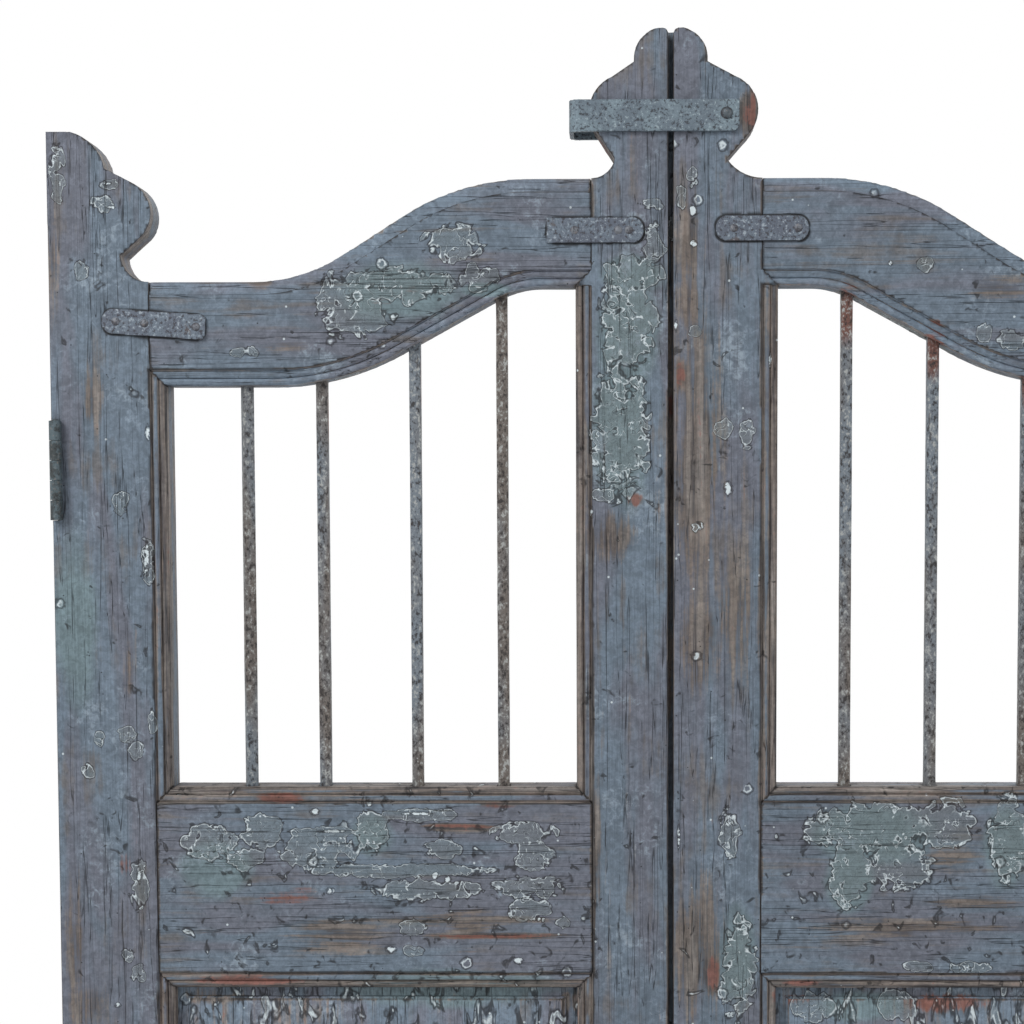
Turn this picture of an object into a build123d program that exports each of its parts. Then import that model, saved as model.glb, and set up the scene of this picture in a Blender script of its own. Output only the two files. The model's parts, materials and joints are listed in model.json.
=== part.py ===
from build123d import *
import math
import os

# A pair of half-height wooden door leaves, closed and latched. Millimetres, +Z up.
# The front faces -Y. The origin is on the floor line, midway between the pair's outer
# edges and midway through its thickness.

# Leaves. The left leaf's size is without its lip. The right leaf is wider by as much as
# the lip takes of the left one's stile.
pair_gap = 5.0
leaf_width = 624.5
leaf_thickness = 40.0

# Stiles and rails, each with the moulding on its inner edge
hanging_stile_width = 117.0
meeting_stile_width = 93.5
bottom_rail_height = 120.0
lower_opening_height = 230.0
mid_rail_height = 208.0
upper_opening_height = 408.5
top_rail_depth = 104.5
top_edge_rise = 101.5
lower_edge_rise = 99.0

# Sweep of the top rail: where each edge's slope begins and ends, from the nearer stile's
# sight line, and the bends that ease it
top_slope_start = 138.0
top_slope_end = 115.0
top_bend_low = 165.0
top_bend_high = 243.0
lower_slope_start = 176.0
lower_slope_end = 58.0
lower_bend_low = 269.0
lower_bend_high = 90.0

# Carved tops of the stiles, as (distance from the stile's outer or meeting edge, height
# above the rail beside it): a cap, a round nose and the narrowest place of the neck. The
# right leaf's wider meeting stile has its nose further out.
hanging_cap = ((24.0, 149.5), (46.0, 137.0), (58.5, 113.0))
hanging_nose = ((84.0, 100.0), (104.3, 67.0), (96.0, 46.0))
hanging_neck = (73.5, 26.0)
meeting_cap = ((10.0, 148.0), (28.0, 137.0), (34.4, 115.0))
meeting_nose = ((56.7, 100.0), (78.9, 66.0), (70.5, 44.0))
meeting_neck = (54.0, 18.5)
meeting_corner = 6.0
wide_nose_shift = 6.0

# Moulding stuck on the front inner edges: a quirk and two beads
moulding_width = 16.0
mitre_depth = 12.0
quirk_width = 1.4
quirk_depth = 3.0
bead_width = 6.8
bead_rise = 2.3
bead_fall = 1.5

# Shallow worn band along the top edge of the top rail
crest_band_width = 13.0
crest_band_depth = 1.4
crest_band_fall = 1.0

# Tenons and mortises
tenon_thickness = 12.0
tenon_length = 62.0
tenon_shoulder = 16.0
tenon_fit = 0.2

# Lapped meeting edges
lap_width = 12.0
lap_fit = 0.5
lap_side_gap = 2.0

# Lower panel
panel_edge_thickness = 9.0
panel_field_rise = 4.5
panel_margin = 11.0
panel_bevel = 2.5
panel_groove_depth = 10.0
panel_slack = 1.5
panel_fit = 0.25

# Square iron bars, measured from the meeting stile's sight line
bar_size = 12.0
bar_seat = 18.0
bar_fit = 0.3
bar_offsets = {"left": (75.0, 163.5, 258.5, 335.0), "right": (70.5, 158.0, 254.0, 330.0)}
turned_bar = 20.0

# Iron joint straps. Each centre is (distance past the shoulder line towards the middle of
# the pair, depth below the rail's top), and each nail is its distance along the strap.
strap_thickness = 3.0
strap_height = 25.5
strap_end_radius = 12.0
strap_corner_radius = 5.0
outer_strap_length = 105.0
outer_strap_centre = (5.0, 42.5)
outer_strap_tilt = 4.0
outer_strap_nails = (-38.0, -9.0, 43.0)
left_inner_strap_length = 97.5
left_inner_strap_centre = (4.0, 52.0)
left_inner_strap_nails = (-20.5, 23.0, 34.0)
right_inner_strap_length = 93.5
right_inner_strap_centre = (0.5, 50.5)
right_inner_strap_nails = (-36.0, 28.5)

# Nails
nail_shank_radius = 1.6
nail_length = 24.0
nail_head_radius = 4.2
nail_head_rise = 1.8
nail_fit = 0.1

# Latch hoop and its pin, on the right leaf. The end gap is between the left leaf's nose and
# the inside of the bight.
hoop_height = 32.0
hoop_thickness = 5.0
hoop_side_gap = 0.5
hoop_end_gap = 15.6
hoop_tail = 13.0
hoop_inner_corner = 6.0
hoop_end_corner = 8.0
hoop_pin_drop = 1.8
latch_pin_radius = 4.0
latch_pin_fit = 0.05
latch_head_radius = 6.0
latch_head_rise = 3.2
latch_head_gap = 0.3
latch_pin_from_edge = 53.0
latch_pin_above_crest = 62.7

# Butt hinges
hinge_length = 100.0
hinge_plate_thickness = 2.5
hinge_plate_width = 34.0
hinge_plate_gap = 0.4
knuckle_radius = 6.2
knuckle_count = 5
knuckle_gap = 0.4
hinge_pin_radius = 3.0
hinge_pin_fit = 0.05
hinge_pin_tip = 2.0
hinge_pin_head_radius = 4.5
hinge_face_gap = 0.4
hinge_seat_fit = 0.2
upper_hinge_from_rail_top = 189.5
lower_hinge_height = 186.0
screw_radius = 2.0
screw_length = 24.0
screw_head_radius = 3.8
screw_row_spacing = 17.0
screw_hole_spacing = 70.0
screw_fit = 0.1
post_hole_radius = 2.4

# How far a cutter runs past the face it starts from
cut_over = 5.0

# Positions that follow from the sizes, on the left leaf. The right leaf's are the same,
# mirrored, apart from its meeting edge.
meeting_edges = {"left": -(lap_width + pair_gap) / 2, "right": (lap_width - pair_gap) / 2}
lip_edge = meeting_edges["left"] + lap_width
outer_edge = meeting_edges["left"] - leaf_width
hang_sight = outer_edge + hanging_stile_width
meet_sight = meeting_edges["left"] - meeting_stile_width
hang_shoulder = hang_sight - moulding_width
meet_shoulder = meet_sight + moulding_width
lower_sill = bottom_rail_height
lower_head = lower_sill + lower_opening_height
upper_sill = lower_head + mid_rail_height
upper_head = upper_sill + upper_opening_height
upper_head_high = upper_head + lower_edge_rise
rail_top = upper_head + top_rail_depth
crest = rail_top + top_edge_rise
finial_top = crest + meeting_cap[0][1]
front_face = leaf_thickness / 2

# The hinge's knuckles lie in front of the leaf, and both its plates in the leaf's edge
pin_x = outer_edge + knuckle_radius
pin_y = -(front_face + hinge_face_gap + knuckle_radius)
plate_front = -front_face
plate_back = plate_front + hinge_plate_width
post_plate_inner = outer_edge + hinge_plate_thickness
door_plate_outer = post_plate_inner + hinge_plate_gap
door_plate_inner = door_plate_outer + hinge_plate_thickness
knuckle_pitch = hinge_length / knuckle_count
hinge_heights = {"upper": rail_top - upper_hinge_from_rail_top, "lower": lower_hinge_height}

# The latch turns on a pin through the right leaf's nose, and its reach is from there to the
# inside of the bight
latch_pin_x = latch_pin_from_edge - meeting_edges["right"]
latch_pin_z = crest + latch_pin_above_crest
hoop_reach = latch_pin_from_edge + pair_gap + meeting_nose[1][0] + hoop_end_gap
hoop_inner = front_face + hoop_side_gap
hoop_outer = hoop_inner + hoop_thickness

# The front and back layers of a member meet where the mitres end
front_plane = Plane.XZ.offset(front_face)
layer_plane = Plane.XZ.offset(front_face - mitre_depth)
back_layer = leaf_thickness - mitre_depth


def top_edge_wire(plane):
    with BuildLine(plane) as line:
        FilletPolyline(
            (hang_shoulder, rail_top),
            (hang_sight + top_slope_start, rail_top),
            (meet_sight - top_slope_end, crest),
            (meet_shoulder, crest),
            radius=(top_bend_low, top_bend_high),
        )
    return line.wire()


def lower_edge_wire(plane):
    with BuildLine(plane) as line:
        FilletPolyline(
            (hang_shoulder, upper_head),
            (hang_sight + lower_slope_start, upper_head),
            (meet_sight - lower_slope_end, upper_head_high),
            (meet_shoulder, upper_head_high),
            radius=(lower_bend_low, lower_bend_high),
        )
    return line.wire()


def lower_edge_height(x):
    upright = Line((x, 0, 0), (x, 0, 2 * crest))
    return lower_edge_wire(Plane.XZ).intersect(upright)[0].Z


def block(low, high, mode=Mode.ADD):
    size = [b - a for a, b in zip(low, high)]
    middle = tuple((a + b) / 2 for a, b in zip(low, high))
    with Locations(middle):
        Box(*size, mode=mode)


def moulding_section(plane):
    # Local x runs from the sight line into the member, local y out of the front face
    first_bead = moulding_width - quirk_width
    second_bead = first_bead - bead_width
    bead_end = second_bead - bead_width
    low_bead = -quirk_depth - bead_fall
    with BuildSketch(plane) as section:
        with BuildLine():
            quirk = Line((moulding_width, 0), (first_bead, -quirk_depth))
            bead = ThreePointArc(
                quirk @ 1,
                (first_bead - bead_width / 2, bead_rise - quirk_depth),
                (second_bead, -quirk_depth),
            )
            edge_bead = ThreePointArc(
                (second_bead, low_bead),
                (second_bead - bead_width / 2, bead_rise + low_bead),
                (bead_end, low_bead),
            )
            Line(bead @ 1, edge_bead @ 0)
            Polyline(
                edge_bead @ 1,
                (-cut_over, low_bead),
                (-cut_over, cut_over),
                (moulding_width, cut_over),
                quirk @ 0,
            )
        make_face()
    return section.sketch


def stile_moulding(sight, inward):
    plane = Plane(
        origin=(sight, -front_face, 0), x_dir=(inward, 0, 0), z_dir=(0, 0, -inward)
    )
    with BuildPart() as cutter:
        extrude(to_extrude=moulding_section(plane), amount=-inward * upper_head_high)
    return cutter.part


def rail_moulding(height, inward):
    start = hang_shoulder if inward > 0 else meet_shoulder
    plane = Plane(
        origin=(start, -front_face, height), x_dir=(0, 0, inward), z_dir=(inward, 0, 0)
    )
    with BuildPart() as cutter:
        extrude(to_extrude=moulding_section(plane), amount=meet_shoulder - hang_shoulder)
    return cutter.part


def swept_moulding():
    path = lower_edge_wire(front_plane)
    plane = Plane(origin=path @ 0, x_dir=(0, 0, 1), z_dir=(1, 0, 0))
    with BuildPart() as cutter:
        sweep(sections=moulding_section(plane), path=path)
    return cutter.part


def crest_band():
    path = top_edge_wire(front_plane)
    plane = Plane(origin=path @ 0, x_dir=(0, 0, -1), z_dir=(-1, 0, 0))
    with BuildPart() as cutter:
        with BuildSketch(plane) as section:
            with BuildLine():
                Polyline(
                    (crest_band_width, cut_over),
                    (crest_band_width, -crest_band_depth),
                    (0, -crest_band_depth - crest_band_fall),
                    (-cut_over, -crest_band_depth - crest_band_fall),
                    (-cut_over, cut_over),
                    close=True,
                )
            make_face()
        sweep(sections=section.sketch, path=path)
    return cutter.part


def hanging_stile_face(plane, inner_side):
    with BuildSketch(plane) as face:
        with BuildLine():
            cap = [(outer_edge + across, rail_top + up) for across, up in hanging_cap]
            nose = [(outer_edge + across, rail_top + up) for across, up in hanging_nose]
            neck = (outer_edge + hanging_neck[0], rail_top + hanging_neck[1])
            cap_arc = ThreePointArc(*cap)
            nose_arc = ThreePointArc(*nose)
            neck_arc = TangentArc((hang_shoulder, rail_top), neck, tangent=(-1, 0))
            Line(cap_arc @ 1, nose_arc @ 0)
            Line(nose_arc @ 1, neck_arc @ 1)
            Polyline(
                neck_arc @ 0,
                *inner_side,
                (outer_edge, 0),
                (outer_edge, cap[0][1]),
                cap_arc @ 0,
            )
        make_face()
    return face.sketch


def meeting_stile_face(plane, inner_side, side):
    edge = meeting_edges[side]
    shift = wide_nose_shift * (side == "right")
    with BuildSketch(plane) as face:
        with BuildLine():
            cap = [(edge - across, crest + up) for across, up in meeting_cap]
            nose = [(edge - across - shift, crest + up) for across, up in meeting_nose]
            neck = (edge - meeting_neck[0], crest + meeting_neck[1])
            cap_arc = ThreePointArc(*cap)
            nose_arc = ThreePointArc(*nose)
            neck_arc = TangentArc((meet_shoulder, crest), neck, tangent=(1, 0))
            Line(cap_arc @ 1, nose_arc @ 0)
            Line(nose_arc @ 1, neck_arc @ 1)
            Polyline(
                neck_arc @ 0, *inner_side, (edge, 0), (edge, finial_top), cap_arc @ 0
            )
        make_face()
        top = face.vertices().group_by(Axis.Y)[-1]
        fillet(top.sort_by(Axis.X)[-1], meeting_corner)
    return face.sketch


def lip():
    # The strip along the back of the left leaf's meeting edge that laps behind the right one
    with BuildPart() as strip:
        with BuildSketch(Plane.XZ.offset(-lap_fit / 2)) as face:
            with BuildLine():
                Polyline(
                    (meeting_edges["left"] - meeting_corner, 0),
                    (lip_edge, 0),
                    (lip_edge, finial_top),
                    (meeting_edges["left"] - meeting_corner, finial_top),
                    close=True,
                )
            make_face()
            top = face.vertices().group_by(Axis.Y)[-1]
            fillet(top.sort_by(Axis.X)[-1], meeting_corner)
        extrude(amount=-(front_face - lap_fit / 2))
    return strip.part


def mitred_side(shoulder, sight, head):
    # The inner side of a stile's front layer, from the top rail down
    return (
        (shoulder, head + moulding_width),
        (sight, head),
        (sight, upper_sill),
        (shoulder, upper_sill - moulding_width),
        (shoulder, lower_head + moulding_width),
        (sight, lower_head),
        (sight, lower_sill),
        (shoulder, lower_sill - moulding_width),
        (shoulder, 0),
    )


def cut_mortises(sight, inward, head, top):
    reach = sight + inward * (tenon_length + tenon_fit)
    low_x, high_x = sorted((sight, reach))
    half = tenon_thickness / 2 + tenon_fit
    rails = ((0, lower_sill), (lower_head, upper_sill), (head, top))
    for low_z, high_z in rails:
        block(
            (low_x, -half, low_z + tenon_shoulder - tenon_fit),
            (high_x, half, high_z - tenon_shoulder + tenon_fit),
            mode=Mode.SUBTRACT,
        )


def add_tenon(sight, inward, low_z, high_z):
    low_x, high_x = sorted((sight, sight + inward * tenon_length))
    half = tenon_thickness / 2
    block(
        (low_x, -half, low_z + tenon_shoulder),
        (high_x, half, high_z - tenon_shoulder),
    )


def cut_panel_groove(low_x, high_x, low_z, high_z):
    half = panel_edge_thickness / 2 + panel_fit
    block((low_x, -half, low_z), (high_x, half, high_z), mode=Mode.SUBTRACT)


def strap_layout(side):
    # Centre, turn and nail places of the two straps of a leaf, in left-leaf positions
    across, below = outer_strap_centre
    outer = ((hang_shoulder + across, rail_top - below), -outer_strap_tilt, outer_strap_nails)
    if side == "left":
        across, below = left_inner_strap_centre
        nails = left_inner_strap_nails
    else:
        across, below = right_inner_strap_centre
        nails = right_inner_strap_nails
    inner = ((meet_shoulder + across, crest - below), 0.0, nails)
    return outer, inner


def nail_places(layout):
    (x, z), turn, nails = layout
    angle = math.radians(turn)
    return [(x + along * math.cos(angle), z + along * math.sin(angle)) for along in nails]


def cut_nail_holes(layout):
    outer_face = front_face + strap_thickness
    for x, z in nail_places(layout):
        with Locations(Plane(origin=(x, -outer_face, z), z_dir=(0, 1, 0))):
            Cylinder(
                nail_shank_radius + nail_fit,
                nail_length,
                align=(Align.CENTER, Align.CENTER, Align.MIN),
                mode=Mode.SUBTRACT,
            )


def headed_shank(head_radius, head_rise, shank_radius, length):
    # Domed head on local z = 0, shank below it
    with BuildPart() as shank:
        with BuildSketch(Plane.XZ):
            with BuildLine():
                dome = ThreePointArc(
                    (0, head_rise), (0.62 * head_radius, 0.72 * head_rise), (head_radius, 0)
                )
                Polyline(
                    dome @ 1, (shank_radius, 0), (shank_radius, -length), (0, -length), dome @ 0
                )
            make_face()
        revolve(axis=Axis.Z)
    return shank.part


def screw_places(height):
    middle = (plate_front + plate_back) / 2
    return [
        (middle + row * screw_row_spacing / 2, height + hole * screw_hole_spacing / 2)
        for row in (-1, 1)
        for hole in (-1, 1)
    ]


def cut_hinge_seats():
    for height in hinge_heights.values():
        half = hinge_length / 2 + hinge_seat_fit
        block(
            (outer_edge - cut_over, plate_front - cut_over, height - half),
            (door_plate_inner, plate_back + hinge_seat_fit, height + half),
            mode=Mode.SUBTRACT,
        )
        for y, z in screw_places(height):
            with Locations(Plane(origin=(door_plate_outer, y, z), z_dir=(1, 0, 0))):
                Cylinder(
                    screw_radius + screw_fit,
                    screw_length,
                    align=(Align.CENTER, Align.CENTER, Align.MIN),
                    mode=Mode.SUBTRACT,
                )


def make_hanging_stile(side):
    front = mitred_side(hang_shoulder, hang_sight, upper_head)
    back = ((hang_sight, rail_top), (hang_sight, 0))
    with BuildPart() as stile:
        extrude(to_extrude=hanging_stile_face(front_plane, front), amount=-mitre_depth)
        extrude(to_extrude=hanging_stile_face(layer_plane, back), amount=-back_layer)
        add(stile_moulding(hang_sight, -1), mode=Mode.SUBTRACT)
        cut_mortises(hang_sight, -1, upper_head, rail_top)
        cut_panel_groove(
            hang_sight - panel_groove_depth,
            hang_sight,
            lower_sill - panel_groove_depth,
            lower_head + panel_groove_depth,
        )
        cut_hinge_seats()
        cut_nail_holes(strap_layout(side)[0])
    return stile.part


def make_meeting_stile(side):
    front = mitred_side(meet_shoulder, meet_sight, upper_head_high)
    back = ((meet_sight, crest), (meet_sight, 0))
    with BuildPart() as stile:
        extrude(to_extrude=meeting_stile_face(front_plane, front, side), amount=-mitre_depth)
        extrude(to_extrude=meeting_stile_face(layer_plane, back, side), amount=-back_layer)
        add(stile_moulding(meet_sight, 1), mode=Mode.SUBTRACT)
        cut_mortises(meet_sight, 1, upper_head_high, crest)
        cut_panel_groove(
            meet_sight,
            meet_sight + panel_groove_depth,
            lower_sill - panel_groove_depth,
            lower_head + panel_groove_depth,
        )
        cut_nail_holes(strap_layout(side)[1])
        if side == "left":
            add(lip())
        else:
            block(
                (-lip_edge - lap_side_gap, -lap_fit / 2, -cut_over),
                (lip_edge + cut_over, front_face + cut_over, finial_top + cut_over),
                mode=Mode.SUBTRACT,
            )
            with Locations(Plane(origin=(-latch_pin_x, 0, latch_pin_z), z_dir=(0, 1, 0))):
                Cylinder(
                    latch_pin_radius + latch_pin_fit, 2 * leaf_thickness, mode=Mode.SUBTRACT
                )
    return stile.part


def top_rail_face(plane):
    lower = lower_edge_wire(Plane.XY)
    upper = top_edge_wire(Plane.XY)
    with BuildSketch(plane) as face:
        with BuildLine():
            add(lower)
            add(upper)
            Line(lower @ 0, upper @ 0)
            Line(lower @ 1, upper @ 1)
        make_face()
    return face.sketch


def cut_corner(plane, shoulder, sight, height, rise):
    # The triangle that a mitre takes from a rail's front layer
    with BuildSketch(plane) as corner:
        with BuildLine():
            Polyline((shoulder, height), (sight, height), (shoulder, height + rise), close=True)
        make_face()
    extrude(to_extrude=corner.sketch, amount=-mitre_depth, mode=Mode.SUBTRACT)


def bar_places(side):
    return [meet_sight - offset for offset in bar_offsets[side]]


def bar_section(side, index, grow):
    places = bar_places(side)
    turned = side == "left" and index == len(places) - 1
    with BuildSketch() as section:
        with Locations((places[index], 0)):
            Rectangle(bar_size + 2 * grow, bar_size + 2 * grow, rotation=turned_bar * turned)
    return section.sketch


def make_top_rail(side):
    with BuildPart() as rail:
        extrude(to_extrude=top_rail_face(front_plane), amount=-leaf_thickness)
        for shoulder, sight in ((hang_shoulder, hang_sight), (meet_shoulder, meet_sight)):
            low_x, high_x = sorted((shoulder, sight))
            block(
                (low_x, mitre_depth - front_face, 0),
                (high_x, front_face, crest + cut_over),
                mode=Mode.SUBTRACT,
            )
        cut_corner(front_plane, hang_shoulder, hang_sight, upper_head, moulding_width)
        cut_corner(front_plane, meet_shoulder, meet_sight, upper_head_high, moulding_width)
        add(swept_moulding(), mode=Mode.SUBTRACT)
        add(crest_band(), mode=Mode.SUBTRACT)
        add_tenon(hang_sight, -1, upper_head, rail_top)
        add_tenon(meet_sight, 1, upper_head_high, crest)
        for index, x in enumerate(bar_places(side)):
            with BuildSketch(Plane.XY.offset(upper_head - cut_over)) as socket:
                add(bar_section(side, index, bar_fit))
            depth = lower_edge_height(x) + bar_seat - upper_head + cut_over
            extrude(to_extrude=socket.sketch, amount=depth, mode=Mode.SUBTRACT)
        for layout in strap_layout(side):
            cut_nail_holes(layout)
    return rail.part


def rail_body(low, high, mitres):
    # A level rail from shoulder to shoulder, mitred by the given rise at its foot and top
    foot_rise, top_rise = mitres
    with BuildPart() as rail:
        block((hang_sight, -front_face, low), (meet_sight, front_face, high))
        for shoulder, sight in ((hang_shoulder, hang_sight), (meet_shoulder, meet_sight)):
            with BuildSketch(front_plane) as end:
                with BuildLine():
                    Polyline(
                        (sight, low),
                        (shoulder, low + foot_rise),
                        (shoulder, high - top_rise),
                        (sight, high),
                        close=True,
                    )
                make_face()
            extrude(to_extrude=end.sketch, amount=-mitre_depth)
        add(rail_moulding(high, -1), mode=Mode.SUBTRACT)
        if foot_rise:
            add(rail_moulding(low, 1), mode=Mode.SUBTRACT)
        add_tenon(hang_sight, -1, low, high)
        add_tenon(meet_sight, 1, low, high)
    return rail.part


def make_mid_rail(side):
    with BuildPart() as rail:
        add(rail_body(lower_head, upper_sill, (moulding_width, moulding_width)))
        cut_panel_groove(hang_sight, meet_sight, lower_head, lower_head + panel_groove_depth)
        for index in range(len(bar_offsets[side])):
            with BuildSketch(Plane.XY.offset(upper_sill - bar_seat)) as socket:
                add(bar_section(side, index, bar_fit))
            extrude(to_extrude=socket.sketch, amount=bar_seat, mode=Mode.SUBTRACT)
    return rail.part


def make_bottom_rail():
    with BuildPart() as rail:
        add(rail_body(0, lower_sill, (0, moulding_width)))
        cut_panel_groove(hang_sight, meet_sight, lower_sill - panel_groove_depth, lower_sill)
    return rail.part


def make_panel():
    tongue = panel_groove_depth - panel_slack
    half = panel_edge_thickness / 2
    with BuildPart() as panel:
        block(
            (hang_sight + panel_margin, -half - panel_field_rise, lower_sill + panel_margin),
            (meet_sight - panel_margin, half, lower_head - panel_margin),
        )
        chamfer(panel.faces().sort_by(Axis.Y)[0].edges(), panel_bevel)
        block(
            (hang_sight - tongue, -half, lower_sill - panel_groove_depth),
            (meet_sight + tongue, half, lower_head + tongue),
        )
    return panel.part


def make_bar(side, index):
    foot = upper_sill - bar_seat
    with BuildPart() as bar:
        with BuildSketch(Plane.XY.offset(foot)) as section:
            add(bar_section(side, index, 0))
        extrude(amount=lower_edge_height(bar_places(side)[index]) + bar_seat - foot)
    return bar.part


def make_strap(layout, length, left_radius, right_radius):
    (x, z), turn, _ = layout
    with BuildPart() as strap:
        with BuildSketch(front_plane) as face:
            with Locations(Location((x, z), turn)):
                Rectangle(length, strap_height)
            if left_radius:
                fillet(face.vertices().sort_by(Axis.X)[:2], left_radius)
            if right_radius:
                fillet(face.vertices().sort_by(Axis.X)[-2:], right_radius)
        extrude(amount=strap_thickness)
        cut_nail_holes(layout)
    return strap.part


def make_nails(layout):
    nail = headed_shank(nail_head_radius, nail_head_rise, nail_shank_radius, nail_length)
    outer_face = front_face + strap_thickness
    with BuildPart() as nails:
        for x, z in nail_places(layout):
            with Locations(Plane(origin=(x, -outer_face, z), z_dir=(0, -1, 0))):
                add(nail)
    return nails.part


def make_hinge_plate(height, inner_x, outer_x, knuckles):
    base = height - hinge_length / 2
    with BuildPart() as plate:
        block((outer_x, plate_front, base), (inner_x, plate_back, base + hinge_length))
        for index in knuckles:
            low = base + index * knuckle_pitch + (knuckle_gap / 2 if index else 0)
            high = base + (index + 1) * knuckle_pitch
            if index < knuckle_count - 1:
                high -= knuckle_gap / 2
            block((outer_x, pin_y, low), (inner_x, plate_front, high))
            with Locations((pin_x, pin_y, (low + high) / 2)):
                Cylinder(knuckle_radius, high - low)
        with Locations((pin_x, pin_y, height)):
            Cylinder(hinge_pin_radius + hinge_pin_fit, 2 * hinge_length, mode=Mode.SUBTRACT)
    return plate.part


def make_door_plate(height):
    with BuildPart() as plate:
        add(
            make_hinge_plate(
                height, door_plate_inner, door_plate_outer, range(0, knuckle_count, 2)
            )
        )
        for y, z in screw_places(height):
            with Locations(Plane(origin=(door_plate_outer, y, z), z_dir=(-1, 0, 0))):
                CounterSinkHole(
                    screw_radius + screw_fit, screw_head_radius + screw_fit, hinge_plate_thickness
                )
    return plate.part


def make_post_plate(height):
    with BuildPart() as plate:
        add(
            make_hinge_plate(height, post_plate_inner, outer_edge, range(1, knuckle_count, 2))
        )
        for y, z in screw_places(height):
            with Locations(Plane(origin=(outer_edge, y, z), z_dir=(1, 0, 0))):
                Cylinder(post_hole_radius, 2 * hinge_plate_thickness, mode=Mode.SUBTRACT)
    return plate.part


def make_hinge_pin(height):
    pin = headed_shank(hinge_pin_head_radius, hinge_pin_tip, hinge_pin_radius, hinge_length)
    with BuildPart() as placed:
        with Locations((pin_x, pin_y, height + hinge_length / 2)):
            add(pin)
    return placed.part


def make_hinge_screws(height):
    cone = screw_head_radius - screw_radius
    with BuildPart() as screw:
        with BuildSketch(Plane.XZ):
            Polygon(
                (0, 0),
                (screw_head_radius, 0),
                (screw_radius, -cone),
                (screw_radius, -screw_length),
                (0, -screw_length),
                align=None,
            )
        revolve(axis=Axis.Z)
    with BuildPart() as screws:
        for y, z in screw_places(height):
            with Locations(Plane(origin=(door_plate_outer, y, z), z_dir=(-1, 0, 0))):
                add(screw.part)
    return screws.part


def make_latch_hoop():
    foot = latch_pin_z - hoop_pin_drop - hoop_height / 2
    with BuildPart() as hoop:
        with BuildSketch(Plane.XY.offset(foot)) as band:
            with BuildLine():
                Polyline(
                    (latch_pin_x + hoop_tail, -hoop_outer),
                    (latch_pin_x - hoop_reach - hoop_thickness, -hoop_outer),
                    (latch_pin_x - hoop_reach - hoop_thickness, hoop_outer),
                    (latch_pin_x + hoop_tail, hoop_outer),
                    close=True,
                )
            make_face()
            fillet(band.vertices().sort_by(Axis.X)[:2], hoop_inner_corner + hoop_thickness)
            with BuildSketch(mode=Mode.SUBTRACT) as inside:
                with BuildLine():
                    Polyline(
                        (latch_pin_x + hoop_tail, -hoop_inner),
                        (latch_pin_x - hoop_reach, -hoop_inner),
                        (latch_pin_x - hoop_reach, hoop_inner),
                        (latch_pin_x + hoop_tail, hoop_inner),
                        close=True,
                    )
                make_face()
                fillet(inside.vertices().sort_by(Axis.X)[:2], hoop_inner_corner)
        extrude(amount=hoop_height)
        ends = hoop.faces().filter_by(Axis.X).sort_by(Axis.X)[-2:]
        end_edges = ends.edges().filter_by(Axis.Y)
        fillet(end_edges.sort_by(Axis.Z)[:2], hoop_end_corner)
        with Locations(Plane(origin=(latch_pin_x, 0, latch_pin_z), z_dir=(0, 1, 0))):
            Cylinder(latch_pin_radius + latch_pin_fit, 4 * hoop_outer, mode=Mode.SUBTRACT)
    return hoop.part


def make_latch_pin():
    seat = hoop_outer + latch_head_gap
    head = headed_shank(latch_head_radius, latch_head_rise, latch_pin_radius, seat)
    with BuildPart() as pin:
        for outward in (-1, 1):
            with Locations(
                Plane(origin=(latch_pin_x, outward * seat, latch_pin_z), z_dir=(0, outward, 0))
            ):
                add(head)
    return pin.part


def keep(piece, side, name):
    # Right-hand pieces are drawn in left-hand positions and mirrored here
    with BuildPart() as placed:
        add(piece)
        if side == "right":
            mirror(about=Plane.YZ, mode=Mode.REPLACE)
    full_name = f"{side}_{name}"
    placed.part.label = full_name
    export_step(placed.part, f"parts/{full_name}.step")


os.makedirs("parts", exist_ok=True)

inner_straps = {
    "left": (left_inner_strap_length, 0, strap_end_radius),
    "right": (right_inner_strap_length, strap_end_radius, strap_end_radius),
}

for side in ("left", "right"):
    keep(make_hanging_stile(side), side, "hanging_stile")
    keep(make_meeting_stile(side), side, "meeting_stile")
    keep(make_top_rail(side), side, "top_rail")
    keep(make_mid_rail(side), side, "mid_rail")
    keep(make_bottom_rail(), side, "bottom_rail")
    keep(make_panel(), side, "panel")
    for index in range(len(bar_offsets[side])):
        keep(make_bar(side, index), side, f"bar_{index + 1}")
    outer, inner = strap_layout(side)
    outer_strap = make_strap(outer, outer_strap_length, strap_end_radius, strap_corner_radius)
    keep(outer_strap, side, "outer_strap")
    keep(make_nails(outer), side, "outer_strap_nails")
    keep(make_strap(inner, *inner_straps[side]), side, "inner_strap")
    keep(make_nails(inner), side, "inner_strap_nails")
    for place, height in hinge_heights.items():
        keep(make_door_plate(height), side, f"{place}_door_plate")
        keep(make_post_plate(height), side, f"{place}_post_plate")
        keep(make_hinge_pin(height), side, f"{place}_hinge_pin")
        keep(make_hinge_screws(height), side, f"{place}_hinge_screws")

latch_hoop = make_latch_hoop()
latch_hoop.label = "latch_hoop"
export_step(latch_hoop, "parts/latch_hoop.step")
latch_pin = make_latch_pin()
latch_pin.label = "latch_pin"
export_step(latch_pin, "parts/latch_pin.step")
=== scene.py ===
import json
import math

import bmesh
import bpy
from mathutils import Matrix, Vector, noise

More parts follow.
